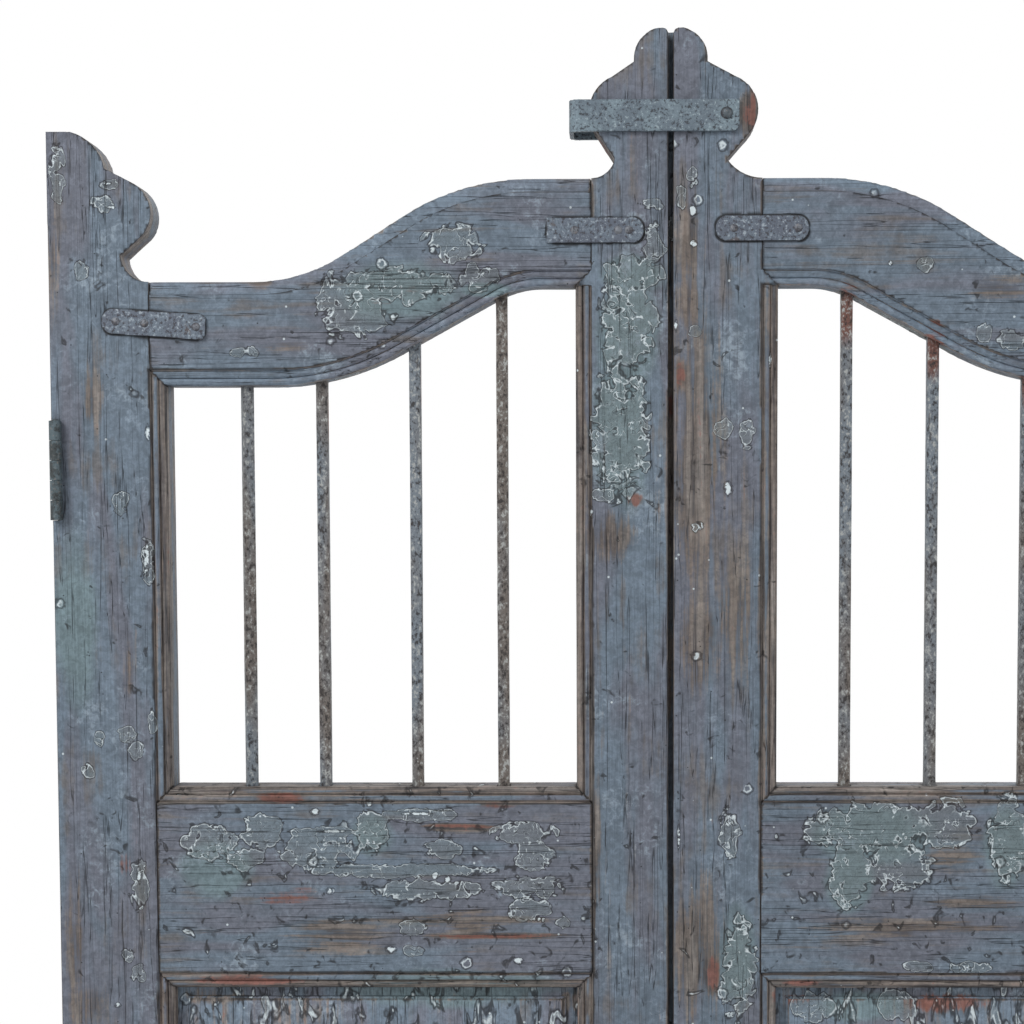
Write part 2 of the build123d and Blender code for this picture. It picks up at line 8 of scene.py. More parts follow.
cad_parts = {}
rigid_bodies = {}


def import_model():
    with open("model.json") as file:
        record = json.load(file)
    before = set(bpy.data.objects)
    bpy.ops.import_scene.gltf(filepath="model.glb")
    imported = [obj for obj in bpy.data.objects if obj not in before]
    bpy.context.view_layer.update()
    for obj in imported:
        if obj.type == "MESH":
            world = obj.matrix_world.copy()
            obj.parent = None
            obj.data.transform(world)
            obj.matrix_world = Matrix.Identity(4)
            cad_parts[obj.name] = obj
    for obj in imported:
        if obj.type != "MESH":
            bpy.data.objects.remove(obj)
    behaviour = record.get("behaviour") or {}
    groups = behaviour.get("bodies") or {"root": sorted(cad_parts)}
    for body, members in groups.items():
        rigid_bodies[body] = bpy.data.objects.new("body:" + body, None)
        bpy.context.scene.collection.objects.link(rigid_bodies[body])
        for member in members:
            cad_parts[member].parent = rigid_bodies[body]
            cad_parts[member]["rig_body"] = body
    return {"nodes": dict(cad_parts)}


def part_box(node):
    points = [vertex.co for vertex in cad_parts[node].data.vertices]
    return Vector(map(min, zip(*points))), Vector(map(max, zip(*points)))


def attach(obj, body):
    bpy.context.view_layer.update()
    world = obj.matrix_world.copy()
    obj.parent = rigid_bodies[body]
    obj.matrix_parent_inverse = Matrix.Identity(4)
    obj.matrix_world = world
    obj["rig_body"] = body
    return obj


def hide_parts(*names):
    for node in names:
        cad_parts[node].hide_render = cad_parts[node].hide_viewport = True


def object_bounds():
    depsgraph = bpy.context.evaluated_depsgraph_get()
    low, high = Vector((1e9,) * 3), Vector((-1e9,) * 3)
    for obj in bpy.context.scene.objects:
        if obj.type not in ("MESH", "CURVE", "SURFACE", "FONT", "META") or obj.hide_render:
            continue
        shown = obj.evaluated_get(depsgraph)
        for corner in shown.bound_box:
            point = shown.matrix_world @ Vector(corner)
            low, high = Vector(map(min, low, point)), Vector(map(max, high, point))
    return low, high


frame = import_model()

cad_low, cad_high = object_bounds()
nodes = frame["nodes"]
body_of_node = {name: node["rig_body"] for name, node in nodes.items()}
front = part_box("left_hanging_stile")[0].y
millimetre = 0.001


# The camera fitted to the photo: level with the upper opening and a little left of the
# pair's middle. Angles are in radians, the focal length and the framing shift in pixels.

camera_distance = 2.0
camera_height = 0.85
camera_side = -0.06
camera_pitch = 0.0606
camera_yaw = -0.011
camera_roll = 0.0021
image_size = 1024
focal_pixels = 1974.89
framing_shift = (-83.597, 108.458)


def on_front(column, row):
    """The place (x, z) on the leaves' front that a pixel of the photo shows, to a millimetre."""
    across = column - image_size / 2 + framing_shift[0]
    rise = image_size / 2 - row + framing_shift[1]
    right = across * math.cos(camera_roll) - rise * math.sin(camera_roll)
    up = across * math.sin(camera_roll) + rise * math.cos(camera_roll)
    level = focal_pixels * math.cos(camera_pitch) + up * math.sin(camera_pitch)
    ahead = level * math.cos(camera_yaw) - right * math.sin(camera_yaw)
    sideways = level * math.sin(camera_yaw) + right * math.cos(camera_yaw)
    upwards = up * math.cos(camera_pitch) - focal_pixels * math.sin(camera_pitch)
    x = camera_side + camera_distance * sideways / ahead
    z = camera_height + camera_distance * upwards / ahead
    return round(x, 3), round(z, 3)


pixels_per_metre = 985  # on the leaves' front


def patches_on_front(*readings):
    """Patches (x, z, half width, half height) in metres, from readings in the photo's pixels."""
    return tuple(
        on_front(column, row)
        + (round(half_width / pixels_per_metre, 4), round(half_height / pixels_per_metre, 4))
        for column, row, half_width, half_height in readings
    )


# Worn patches on the front of the leaves. Each is an ellipse read off the photo:
# (column, row, half width, half height) in pixels. First flaked paint, then white chips, bare
# wood, reddish wood and greenish paint. The reddish tops of the right leaf's bars are given
# as (x, z, half width, half height) in metres.

flaked_patches = patches_on_front(
    (627, 318, 24, 42),
    (622, 430, 24, 58),
    (605, 496, 10, 7),
    (725, 428, 9, 8),
    (748, 434, 7, 13),
    (698, 528, 6, 6),
    (696, 331, 6, 5),
    (59, 170, 7, 28),
    (103, 201, 10, 9),
    (109, 182, 8, 5),
    (83, 268, 6, 9),
    (147, 558, 7, 24),
    (99, 735, 5, 8),
    (126, 732, 8, 7),
    (135, 750, 7, 9),
    (88, 769, 6, 9),
    (151, 723, 4, 12),
    (138, 883, 9, 24),
    (126, 955, 7, 7),
    (136, 971, 7, 10),
    (122, 501, 8, 10),
    (208, 841, 22, 15),
    (261, 828, 18, 15),
    (244, 858, 16, 9),
    (317, 849, 31, 18),
    (372, 828, 14, 21),
    (322, 831, 33, 4),
    (419, 814, 35, 5),
    (398, 870, 76, 6),
    (425, 889, 44, 9),
    (441, 849, 16, 8),
    (523, 832, 28, 9),
    (533, 855, 17, 13),
    (528, 887, 30, 10),
    (530, 910, 18, 10),
    (411, 950, 11, 5),
    (413, 927, 13, 6),
    (560, 923, 7, 5),
    (871, 829, 55, 21),
    (849, 874, 17, 28),
    (896, 870, 30, 18),
    (1007, 841, 17, 36),
    (946, 827, 22, 22),
    (728, 833, 10, 22),
    (736, 970, 16, 45),
    (813, 1011, 20, 12),
    (895, 1010, 15, 12),
    (653, 205, 11, 5),
    (656, 244, 10, 17),
    (634, 275, 26, 15),
    (682, 195, 5, 12),
    (694, 178, 5, 9),
    (357, 302, 34, 30),
    (401, 285, 46, 16),
    (455, 243, 26, 16),
    (480, 277, 17, 12),
    (927, 266, 8, 7),
    (984, 335, 7, 10),
    (1012, 342, 12, 9),
    (245, 350, 14, 5),
    (915, 968, 14, 5),
    (970, 968, 18, 5),
)
white_patches = patches_on_front(
    (147, 558, 3, 20),
    (138, 874, 3, 10),
    (148, 430, 3, 9),
    (729, 489, 5, 8),
    (694, 211, 4, 6),
    (695, 244, 4, 4),
    (313, 811, 6, 4),
    (388, 948, 6, 5),
    (517, 960, 6, 4),
    (329, 890, 5, 4),
    (434, 875, 4, 4),
    (447, 879, 4, 4),
    (416, 813, 20, 2),
    (330, 830, 16, 2),
    (677, 325, 2, 8),
    (677, 835, 2, 16),
    (840, 350, 2, 8),
    (592, 512, 2, 7),
    (604, 470, 2, 16),
    (112, 205, 6, 2),
    (108, 181, 5, 3),
    (116, 1004, 4, 3),
    (892, 264, 3, 3),
    (771, 360, 2, 9),
)
bare_patches = patches_on_front(
    (612, 537, 20, 24),
    (697, 470, 24, 150),
    (735, 610, 26, 70),
    (700, 640, 26, 60),
    (691, 241, 13, 50),
    (691, 300, 12, 30),
    (92, 395, 12, 40),
    (280, 343, 30, 8),
    (258, 285, 16, 6),
    (128, 667, 7, 45),
    (74, 940, 14, 75),
    (85, 1003, 26, 26),
    (54, 250, 5, 60),
    (333, 933, 52, 20),
    (472, 924, 26, 20),
    (497, 935, 66, 5),
    (456, 827, 37, 5),
    (911, 929, 112, 12),
    (952, 862, 26, 15),
    (980, 905, 50, 8),
    (696, 953, 24, 70),
    (711, 972, 8, 22),
    (751, 115, 10, 24),
    (1000, 290, 38, 12),
    (455, 920, 100, 6),
    (575, 1005, 20, 10),
    (200, 995, 40, 8),
    (595, 860, 6, 60),
)
rusty_bar_tops = (
    (0.172, 1.035, 0.010, 0.030),
    (0.260, 1.000, 0.010, 0.030),
    (0.356, 0.965, 0.010, 0.025),
    (0.432, 0.960, 0.010, 0.025),
)
rusty_patches = patches_on_front(
    (634, 500, 8, 6),
    (282, 896, 30, 7),
    (300, 889, 14, 4),
    (127, 862, 9, 13),
    (133, 830, 5, 26),
    (384, 300, 14, 4),
    (411, 290, 9, 5),
    (279, 797, 22, 5),
    (492, 806, 20, 3),
    (248, 979, 50, 5),
    (796, 998, 22, 8),
    (947, 1006, 36, 10),
    (711, 975, 6, 16),
    (752, 112, 6, 18),
    (497, 935, 60, 3),
    (456, 827, 34, 3),
    (682, 375, 4, 14),
    (800, 985, 20, 3),
)
rusty_patches += rusty_bar_tops
green_patches = patches_on_front(
    (627, 330, 30, 55),
    (622, 430, 28, 70),
    (849, 880, 24, 34),
    (871, 835, 60, 30),
    (1005, 850, 24, 40),
    (736, 960, 20, 50),
    (484, 289, 24, 7),
    (372, 835, 20, 22),
    (215, 870, 35, 28),
    (75, 620, 24, 80),
    (400, 290, 60, 30),
    (450, 990, 110, 20),
    (860, 1010, 40, 16),
    (634, 275, 30, 18),
)


patch_reach = 1.6  # half sizes from a patch's centre to where it has surely ended


def patch_strength(patches, point):
    """1 at the centre of one of these patches, a half on its ellipse and 0 well outside."""
    strongest = 0.0
    for x, z, half_width, half_height in patches:
        across = (point.x - x) / half_width
        along = (point.z - z) / half_height
        if abs(across) < patch_reach and abs(along) < patch_reach:
            strongest = max(strongest, 1.0 - 0.5 * math.hypot(across, along) ** 2)
    return strongest


# Painted shadow and grime round the straps: the wood darkened where their contact shadow
# falls. As in the CAD, they are 25.5 mm high and the outer ones lie at a slight tilt. Their
# ends are taken as round here, with one radius for all.

strap_half_height = 12.75 * millimetre
strap_end_radius = 10 * millimetre
outer_strap_tilt = math.radians(4)
shadow_and_grime_width = 2.6 * millimetre
straps = [
    (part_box(side + end), tilt)
    for side, turn in (("left", 1), ("right", -1))
    for end, tilt in (("_outer_strap", turn * outer_strap_tilt), ("_inner_strap", 0.0))
]


def strap_grime(point):
    """1 under a strap, fading to 0 a few millimetres outside its edge: painted shade and grime.
    """
    nearest = 1.0
    for (low, high), tilt in straps:
        x = point.x - (low.x + high.x) / 2
        z = point.z - (low.z + high.z) / 2
        half_length = (high.x - low.x) / 2 - strap_half_height * abs(math.sin(tilt))
        lengthways = abs(x * math.cos(tilt) - z * math.sin(tilt))
        upright = abs(x * math.sin(tilt) + z * math.cos(tilt))
        past_end = max(0.0, lengthways - half_length + strap_end_radius)
        past_rim = max(0.0, upright - strap_half_height + strap_end_radius)
        outside = math.hypot(past_end, past_rim) - strap_end_radius
        nearest = min(nearest, outside)
    return min(1.0, max(0.0, 1.0 - nearest / shadow_and_grime_width))


# Meshes: a node's own shape cut into small cells, so that its edges and faces can wear

cell = 5 * millimetre
edge_strip = 1.3 * millimetre
weld_distance = 1e-6
flat_angle = math.radians(0.5)
worn_edge_angle = math.radians(38)
shading_angle = math.radians(32)

# Front faces as near to a small mark as this, in its half sizes, get this many more cuts
mark_reach = 1.5
mark_cuts = 2

# A face looks to the front or back where its normal's y is more than this, and else sideways
facing_limit = 0.5

# A moulding lies between these depths below the leaves' front, and is fully sunk at the third
moulding_top = 0.35 * millimetre
moulding_floor = 11 * millimetre
fully_sunk = 3 * millimetre

# The back repeats the front's patches, mirrored and this much lower
back_patches_drop = 30 * millimetre


def cut_places(low, high):
    """Where the cells of a span begin and end, with a narrow one along each end."""
    count = max(1, round((high - low) / cell))
    places = [low + (high - low) * index / count for index in range(1, count)]
    if high - low > 4 * edge_strip:
        places = [p for p in places if low + 2 * edge_strip < p < high - 2 * edge_strip]
        places += [low + edge_strip, high - edge_strip]
    return places


def has_small_marks(point):
    """Whether a place on the front needs cells fine enough for small marks."""
    for x, z, half_width, half_height in flaked_patches + white_patches:
        beside = abs(point.x - x) < mark_reach * half_width + cell
        if beside and abs(point.z - z) < mark_reach * half_height + cell:
            return True
    return 0.0 < strap_grime(point) < 1.0


def celled_mesh(name):
    """A node's mesh, welded, with its faces cut into cells, finer ones where marks lie."""
    mesh = bmesh.new()
    mesh.from_mesh(nodes[name].data)
    bmesh.ops.remove_doubles(mesh, verts=mesh.verts, dist=weld_distance)
    bmesh.ops.dissolve_limit(
        mesh, angle_limit=flat_angle, verts=mesh.verts, edges=mesh.edges
    )
    low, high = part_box(name)
    for axis in range(3):
        normal = Vector((0, 0, 0))
        normal[axis] = 1
        for place in cut_places(low[axis], high[axis]):
            bmesh.ops.bisect_plane(
                mesh,
                geom=mesh.verts[:] + mesh.edges[:] + mesh.faces[:],
                dist=weld_distance,
                plane_co=normal * place,
                plane_no=normal,
            )
    mesh.normal_update()
    marked = [
        face for face in mesh.faces
        if face.normal.y < -facing_limit and has_small_marks(face.calc_center_median())
    ]
    edges = list(dict.fromkeys(edge for face in marked for edge in face.edges))
    if edges:
        bmesh.ops.subdivide_edges(mesh, edges=edges, cuts=mark_cuts, use_grid_fill=True)
    bmesh.ops.triangulate(mesh, faces=[f for f in mesh.faces if len(f.verts) > 4])
    mesh.normal_update()
    return mesh


# Scales of the wear's noise, per metre, and the noise above which an edge is chipped
stretch_scale = 28
chip_scale = 95
unevenness_scale = 17
chip_level = 0.28


def wear_of(point, seed):
    """How worn an edge is at a point, from 0 to 1, in long soft stretches with a few chips."""
    place = point + Vector((seed, 0, seed * 0.7))
    soft = noise.noise(place * stretch_scale) * 0.5 + 0.5
    chips = max(0.0, noise.noise(place * chip_scale) - chip_level) * 2.4
    return min(1.0, soft * 0.7 + chips)


def sharpness(vertex):
    """The sharpest angle that the outward edges at a vertex make."""
    outward = [e for e in vertex.link_edges if len(e.link_faces) == 2 and e.is_convex]
    return max((edge.calc_face_angle(0.0) for edge in outward), default=0.0)


def surface_numbers(vertex, edge_wear):
    """What the paint needs to know about a vertex, each from 0 to 1."""
    is_front = vertex.co.y < 0
    place = vertex.co.copy()
    if not is_front:
        place = Vector((-place.x, place.y, place.z + back_patches_drop))
    below_front = vertex.co.y - front
    in_moulding = moulding_top < below_front < moulding_floor
    around = vertex.link_faces
    sideways = sum(1 for face in around if abs(face.normal.y) < facing_limit)
    return {
        "edge_wear": edge_wear,
        "bare": patch_strength(bare_patches, place),
        "flaked": patch_strength(flaked_patches, place),
        "white": patch_strength(white_patches, place) if is_front else 0.0,
        "rusty": patch_strength(rusty_patches, place),
        "green": patch_strength(green_patches, place),
        "sunk": min(1.0, below_front / fully_sunk) if in_moulding else 0.0,
        "side": sideways / max(1, len(around)),
        # Painted shadow and grime on the wood round the straps
        "grime_and_shade": strap_grime(vertex.co) if is_front else 0.0,
    }


def worn_place(vertex, seed, edge_depth, face_depth, on_edge, wear):
    """Where a vertex ends up when its edge is rounded off and its face made uneven. It moves
    by no more than 0.4 of its shortest edge and a tenth of a millimetre."""
    uneven = noise.noise(vertex.co * unevenness_scale + Vector((seed, seed, 0))) * 0.5 + 0.5
    depth = on_edge * edge_depth * (0.35 + wear) + face_depth * uneven
    room = min((edge.calc_length() for edge in vertex.link_edges), default=0)
    return vertex.co - vertex.normal * min(depth, 0.4 * room + 0.1 * millimetre)


def worn_piece(name, seed, depths, material):
    """A piece that stands for a CAD node, with its edges worn and its faces uneven. The
    depths are those of the wear on its edges and on its faces."""
    edge_depth, face_depth = depths
    mesh = celled_mesh(name)
    places = []
    numbers = []
    for vertex in mesh.verts:
        on_edge = 1.0 if sharpness(vertex) > worn_edge_angle else 0.0
        wear = wear_of(vertex.co, seed)
        places.append(worn_place(vertex, seed, edge_depth, face_depth, on_edge, wear))
        numbers.append(surface_numbers(vertex, on_edge * (0.5 + 0.5 * wear)))
    for vertex, place in zip(mesh.verts, places):
        vertex.co = place
    data = bpy.data.meshes.new(name + "_worn")
    mesh.to_mesh(data)
    mesh.free()
    for key in numbers[0]:
        attribute = data.attributes.new(key, "FLOAT", "POINT")
        attribute.data.foreach_set("value", [values[key] for values in numbers])
    data.shade_smooth()
    data.set_sharp_from_angle(angle=shading_angle)
    data.materials.append(material)
    piece = bpy.data.objects.new(name + "_worn", data)
    bpy.context.scene.collection.objects.link(piece)
    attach(piece, body_of_node[name])
    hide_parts(name)


# Colours, as they look on a screen


def linear(red, green, blue):
    """The colour that a screen shows for these values from 0 to 255."""

    def channel(value):
        value = value / 255
        return value / 12.92 if value <= 0.04045 else ((value + 0.055) / 1.055) ** 2.4

    return (channel(red), channel(green), channel(blue), 1.0)


slate_paint = linear(101, 114, 127)
violet_paint = linear(101, 105, 116)
brown_paint = linear(102, 97, 94)
green_paint = linear(104, 121, 127)
pale_paint = linear(128, 140, 151)
# White of chips and specks, and the painted highlight on the rims of flakes and blisters
white_paint_and_highlight = linear(206, 216, 220)
flake_fill = linear(116, 127, 128)
wood_dark = linear(58, 50, 45)
wood_brown = linear(110, 98, 88)
wood_grey = linear(130, 122, 115)
wood_red = linear(116, 72, 57)
# Dirt and cracks, and the painted shade beside flakes, blisters and chips and round the straps
dirt_and_shade = linear(24, 23, 25)


specular_level = 0.35


class Shader:
    """A material's node tree, built one value at a time. Scales are per metre."""

    def __init__(self, name, roughness, metallic=0.0):
        self.material = bpy.data.materials.new(name)
        self.material.use_nodes = True
        self.tree = self.material.node_tree
        self.surface = self.tree.nodes["Principled BSDF"]
        self.surface.inputs["Roughness"].default_value = roughness
        self.surface.inputs["Metallic"].default_value = metallic
        self.surface.inputs["Specular IOR Level"].default_value = specular_level
        self.place = self.node("ShaderNodeTexCoord").outputs["Object"]

    def node(self, kind, **settings):
        made = self.tree.nodes.new(kind)
        for key, value in settings.items():
            setattr(made, key, value)
        return made

    def join(self, source, socket):
        if isinstance(source, bpy.types.NodeSocket):
            self.tree.links.new(source, socket)
        else:
            socket.default_value = source

    def math(self, operation, first, second=0.0):
        made = self.node("ShaderNodeMath", operation=operation)
        self.join(first, made.inputs[0])
        self.join(second, made.inputs[1])
        return made.outputs[0]

    def add(self, *values):
        total = values[0]
        for value in values[1:]:
            total = self.math("ADD", total, value)
        return total

    def times(self, *values):
        total = values[0]
        for value in values[1:]:
            total = self.math("MULTIPLY", total, value)
        return total

    def swing(self, value, size):
        """A noise value that swings about zero."""
        return self.times(self.math("SUBTRACT", value, 0.5), size)

    def step(self, value, start, end, low=0.0, high=1.0):
        """Goes smoothly from low at the start to high at the end. Start may exceed end."""
        made = self.node("ShaderNodeMapRange", interpolation_type="SMOOTHSTEP")
        self.join(value, made.inputs["Value"])
        made.inputs["From Min"].default_value = start
        made.inputs["From Max"].default_value = end
        made.inputs["To Min"].default_value = low
        made.inputs["To Max"].default_value = high
        return made.outputs["Result"]

    def line(self, value, centre, half_width):
        """1 where a value is at the centre, fading to 0 half a width away."""
        away = self.math("ABSOLUTE", self.math("SUBTRACT", value, centre))
        return self.step(away, 0.0, half_width, 1.0, 0.0)

    def stretched(self, scale, shift=(0, 0, 0), place=None):
        made = self.node("ShaderNodeMapping")
        self.join(place or self.place, made.inputs["Vector"])
        made.inputs["Scale"].default_value = scale
        made.inputs["Location"].default_value = shift
        return made.outputs["Vector"]

    def noise(
        self, scale, detail=3.0, roughness=0.55, distortion=0.0, shift=(0, 0, 0), output="Fac"
    ):
        made = self.node("ShaderNodeTexNoise")
        self.join(self.stretched(scale, shift), made.inputs["Vector"])
        made.inputs["Scale"].default_value = 1.0
        made.inputs["Detail"].default_value = detail
        made.inputs["Roughness"].default_value = roughness
        made.inputs["Distortion"].default_value = distortion
        return made.outputs[output]

    def spots(self, spacing, share, shift=(0, 0, 0), crooked=0.0):
        """The distance to the nearest spot, in spacings, and 1 where that spot is chosen."""
        place = self.place
        if crooked:
            bend = self.node("ShaderNodeVectorMath", operation="SCALE")
            self.join(self.noise((150, 150, 150), 2, 0.6, 0.0, shift, "Color"), bend.inputs[0])
            bend.inputs["Scale"].default_value = crooked
            moved = self.node("ShaderNodeVectorMath", operation="ADD")
            self.join(place, moved.inputs[0])
            self.join(bend.outputs[0], moved.inputs[1])
            place = moved.outputs[0]
        made = self.node("ShaderNodeTexVoronoi")
        per_metre = 1 / spacing
        flat = (per_metre, 0.12 * per_metre, per_metre)
        self.join(self.stretched(flat, shift, place), made.inputs["Vector"])
        made.inputs["Scale"].default_value = 1.0
        parts = self.node("ShaderNodeSeparateColor")
        self.join(made.outputs["Color"], parts.inputs["Color"])
        return made.outputs["Distance"], self.math("LESS_THAN", parts.outputs[0], share)

    def specks(self, spacing, radius, share, shift=(0, 0, 0)):
        """1 in round specks of this radius, in spacings, for a share of the spots."""
        away, chosen = self.spots(spacing, share, shift)
        return self.times(self.step(away, radius * 0.6, radius, 1.0, 0.0), chosen)

    def number(self, name):
        """One of the numbers that surface_numbers gives each vertex."""
        made = self.node("ShaderNodeAttribute", attribute_name=name)
        return made.outputs["Fac"]

    def mix(self, share, first, second):
        made = self.node("ShaderNodeMix", data_type="RGBA")
        self.join(share, made.inputs[0])
        self.join(first, made.inputs[6])
        self.join(second, made.inputs[7])
        return made.outputs[2]

    def dim(self, colour, share):
        """A colour times a number, both of which vary over the surface."""
        made = self.node("ShaderNodeVectorMath", operation="SCALE")
        self.join(colour, made.inputs[0])
        self.join(share, made.inputs["Scale"])
        return made.outputs[0]

    def finish(self, colour, height, distance, strength):
        """The material, with this colour and bumps of this height."""
        bump = self.node("ShaderNodeBump")
        bump.inputs["Strength"].default_value = strength
        bump.inputs["Distance"].default_value = distance
        self.join(height, bump.inputs["Height"])
        self.join(colour, self.surface.inputs["Base Color"])
        self.join(bump.outputs["Normal"], self.surface.inputs["Normal"])
        return self.material


def along(grain, across_scale, along_scale):
    """A noise scale that is fine across the grain and long along it."""
    if grain == "X":
        return (along_scale, across_scale, across_scale)
    return (across_scale, across_scale, along_scale)


class PaintedWood(Shader):
    """Old paint over wood, in layers. Bareness and flaking are all over, and moulding is how
    bare the sunk edges are. Islands is the scale of the flakes' outlines."""

    def __init__(self, name, grain, shift, bareness, flaking, moulding, islands=(72, 72, 72)):
        super().__init__(name, 0.66)
        self.shift = shift
        self.bareness = bareness
        self.flaking = flaking
        self.moulding = moulding
        self.fine = self.noise(along(grain, 620, 22), 4, 0.65, 0.0, shift)
        self.lines = self.noise(along(grain, 260, 9), 3, 0.6, 0.2, shift)
        self.broad = self.noise(along(grain, 95, 6), 4, 0.6, 0.4, shift)
        self.mottle = self.noise((170, 170, 170), 4, 0.65, 0.5, shift)
        self.blotch = self.noise((15, 15, 15), 5, 0.6, 0.3, shift)
        self.tint = self.noise(along(grain, 26, 5), 3, 0.5, 0.5, shift)
        self.patchy = self.noise((48, 48, 48), 3, 0.6, 0.3, shift)
        self.islands = self.noise(islands, 2.5, 0.55, 0.6, shift)
        self.broken = self.step(self.noise((70, 70, 70), 3, 0.6, 0.0, shift), 0.41, 0.51)
        self.crack = self.line(
            self.noise(along(grain, 120, 3.2), 3, 0.5, 0.25, shift), 0.47, 0.008
        )
        self.sunk = self.number("sunk")
        self.front_only = self.step(self.number("side"), 0.2, 0.7, 1.0, 0.0)

    def paint(self):
        brown = self.add(self.broad, self.swing(self.blotch, -1.0))
        cool = self.add(self.number("green"), self.swing(self.blotch, 1.2))
        pale = self.add(self.blotch, self.swing(self.mottle, 0.5))
        colour = self.mix(self.step(self.tint, 0.42, 0.60), slate_paint, violet_paint)
        colour = self.mix(self.step(brown, 0.56, 0.78, 0.0, 0.7), colour, brown_paint)
        colour = self.mix(self.step(cool, 0.25, 0.8), colour, green_paint)
        return self.mix(self.step(pale, 0.58, 0.78), colour, pale_paint)

    def wood(self):
        reddish = self.add(
            self.number("rusty"),
            self.swing(self.broad, 1.3),
            self.swing(self.lines, 1.6),
            self.swing(self.mottle, 1.2),
            self.times(self.sunk, 0.1),
        )
        colour = self.mix(self.step(self.lines, 0.38, 0.62), wood_dark, wood_brown)
        colour = self.mix(self.step(self.broad, 0.46, 0.68), colour, wood_grey)
        return self.mix(self.step(reddish, 0.35, 0.85), colour, wood_red)

    def bare(self):
        worn = self.add(
            self.times(self.number("bare"), 0.72),
            self.times(self.number("rusty"), 0.55),
            self.times(self.number("edge_wear"), 0.5),
            self.times(self.number("side"), 0.55),
            self.times(self.sunk, self.moulding),
            self.swing(self.broad, 1.4),
            self.swing(self.lines, 0.9),
            self.swing(self.mottle, 0.5),
            self.swing(self.blotch, 0.9),
            self.bareness,
        )
        return self.step(worn, 0.30, 0.74, 0.0, 0.85)

    def unevenly_lit(self, colour):
        colour = self.dim(colour, self.step(self.fine, 0.28, 0.72, 0.87, 1.12))
        colour = self.dim(colour, self.step(self.mottle, 0.32, 0.68, 0.82, 1.18))
        colour = self.dim(colour, self.step(self.patchy, 0.3, 0.7, 0.90, 1.12))
        # Painted light: the sunk parts of a moulding are brightened against the shade that falls
        # in them
        return self.dim(colour, self.step(self.sunk, 0.2, 0.9, 1.0, 1.28))

    def with_flakes(self, colour):
        """Islands of flaked paint, each with a broken white rim, a painted highlight on its
        raised edge, and a dark line outside it, painted shade. Also gives the share of a place
        that lies on an island."""
        ragged = self.step(self.number("flaked"), 0.0, 0.3, 1.6, 2.6)
        field = self.add(
            self.number("flaked"),
            self.swing(self.islands, ragged),
            self.swing(self.blotch, 0.5),
            self.flaking,
        )
        inside = self.step(field, 0.46, 0.56)
        few = self.times(inside, self.step(self.patchy, 0.46, 0.58))
        loops = self.noise((95, 95, 95), 1.5, 0.5, 1.0, self.shift)
        inner_rim_highlight = self.times(self.line(loops, 0.5, 0.022), few)
        inner_shade = self.times(self.line(loops, 0.465, 0.025), few)
        # Painted highlight along the flakes' raised edges, and painted shade just outside them
        rim_highlight = self.math("MAXIMUM", self.line(field, 0.53, 0.09), inner_rim_highlight)
        rim_highlight = self.times(rim_highlight, self.add(0.25, self.times(self.broken, 0.75)))
        shade = self.math("MAXIMUM", self.line(field, 0.39, 0.13), inner_shade)
        wrinkles = self.noise((190, 190, 190), 2, 0.5, 0.6, self.shift)
        ridges = self.times(self.line(wrinkles, 0.5, 0.035), inside)
        colour = self.mix(self.times(inside, 0.3), colour, flake_fill)
        colour = self.mix(self.times(shade, 0.8), colour, dirt_and_shade)
        colour = self.mix(self.times(ridges, 0.35), colour, dirt_and_shade)
        return self.mix(rim_highlight, colour, white_paint_and_highlight), inside

    def with_rings(self, colour):
        """A few small blisters, each with a white ring, a painted highlight, and a dark one
        round it, painted shade.
        """
        away, chosen = self.spots(0.026, 0.07, self.shift, 0.007)
        ring_highlight = self.times(self.line(away, 0.15, 0.05), chosen, self.front_only)
        shade = self.times(self.line(away, 0.235, 0.06), chosen, self.front_only)
        colour = self.mix(self.times(shade, 0.7), colour, dirt_and_shade)
        bright = self.add(0.3, self.times(self.broken, 0.6))
        return self.mix(self.times(ring_highlight, bright), colour, white_paint_and_highlight)

    def with_cracks_and_chips(self, colour):
        split = self.step(self.lines, 0.36, 0.30)
        dark = self.math("MAXIMUM", self.crack, self.times(split, 0.2))
        colour = self.mix(self.times(dark, 0.7), colour, dirt_and_shade)
        chip = self.add(self.number("white"), self.swing(self.mottle, 1.8))
        near_chip = self.step(self.number("white"), 0.1, 0.3)
        # Painted shade: a dark line round the white chips
        colour = self.mix(self.times(self.line(chip, 0.6, 0.2), near_chip, 0.7), colour, dirt_and_shade)
        other = (self.shift[0] + 3, 0, self.shift[2])
        black = self.times(self.specks(0.012, 0.08, 0.28, other), self.front_only)
        colour = self.mix(self.times(black, 0.85), colour, dirt_and_shade)
        white = self.times(self.specks(0.017, 0.085, 0.22, self.shift), self.front_only)
        bright = self.math("MAXIMUM", self.times(white, 0.8), self.step(chip, 0.78, 0.92))
        return self.mix(bright, colour, white_paint_and_highlight)

    def with_grime(self, colour):
        """Dark edges, weaker on a moulding that keeps its paint, and painted shadow with grime
        round the straps.
        """
        edges = self.times(
            self.step(self.number("edge_wear"), 0.15, 0.7),
            self.step(self.lines, 0.28, 0.5, 0.45, 1.0),
            self.step(self.sunk, 0.3, 0.9, 1.0, min(1.0, 0.25 + self.moulding)),
        )
        # Painted shadow with grime on the wood round the straps, where their contact shadow
        # falls
        grime_and_shade_round_straps = self.step(self.number("grime_and_shade"), 0.15, 0.7, 0.0, 0.9)
        grime_and_shade = self.math("MAXIMUM", self.times(edges, 0.85), grime_and_shade_round_straps)
        return self.mix(grime_and_shade, colour, dirt_and_shade)

    def painted(self):
        colour = self.unevenly_lit(self.mix(self.bare(), self.paint(), self.wood()))
        colour, inside = self.with_flakes(colour)
        colour = self.with_grime(self.with_cracks_and_chips(self.with_rings(colour)))
        height = self.add(
            self.times(inside, 0.35),
            self.times(self.fine, 0.3),
            self.times(self.mottle, 0.4),
            self.times(self.crack, -0.5),
        )
        return self.finish(colour, height, 2.2 * millimetre, 0.95)


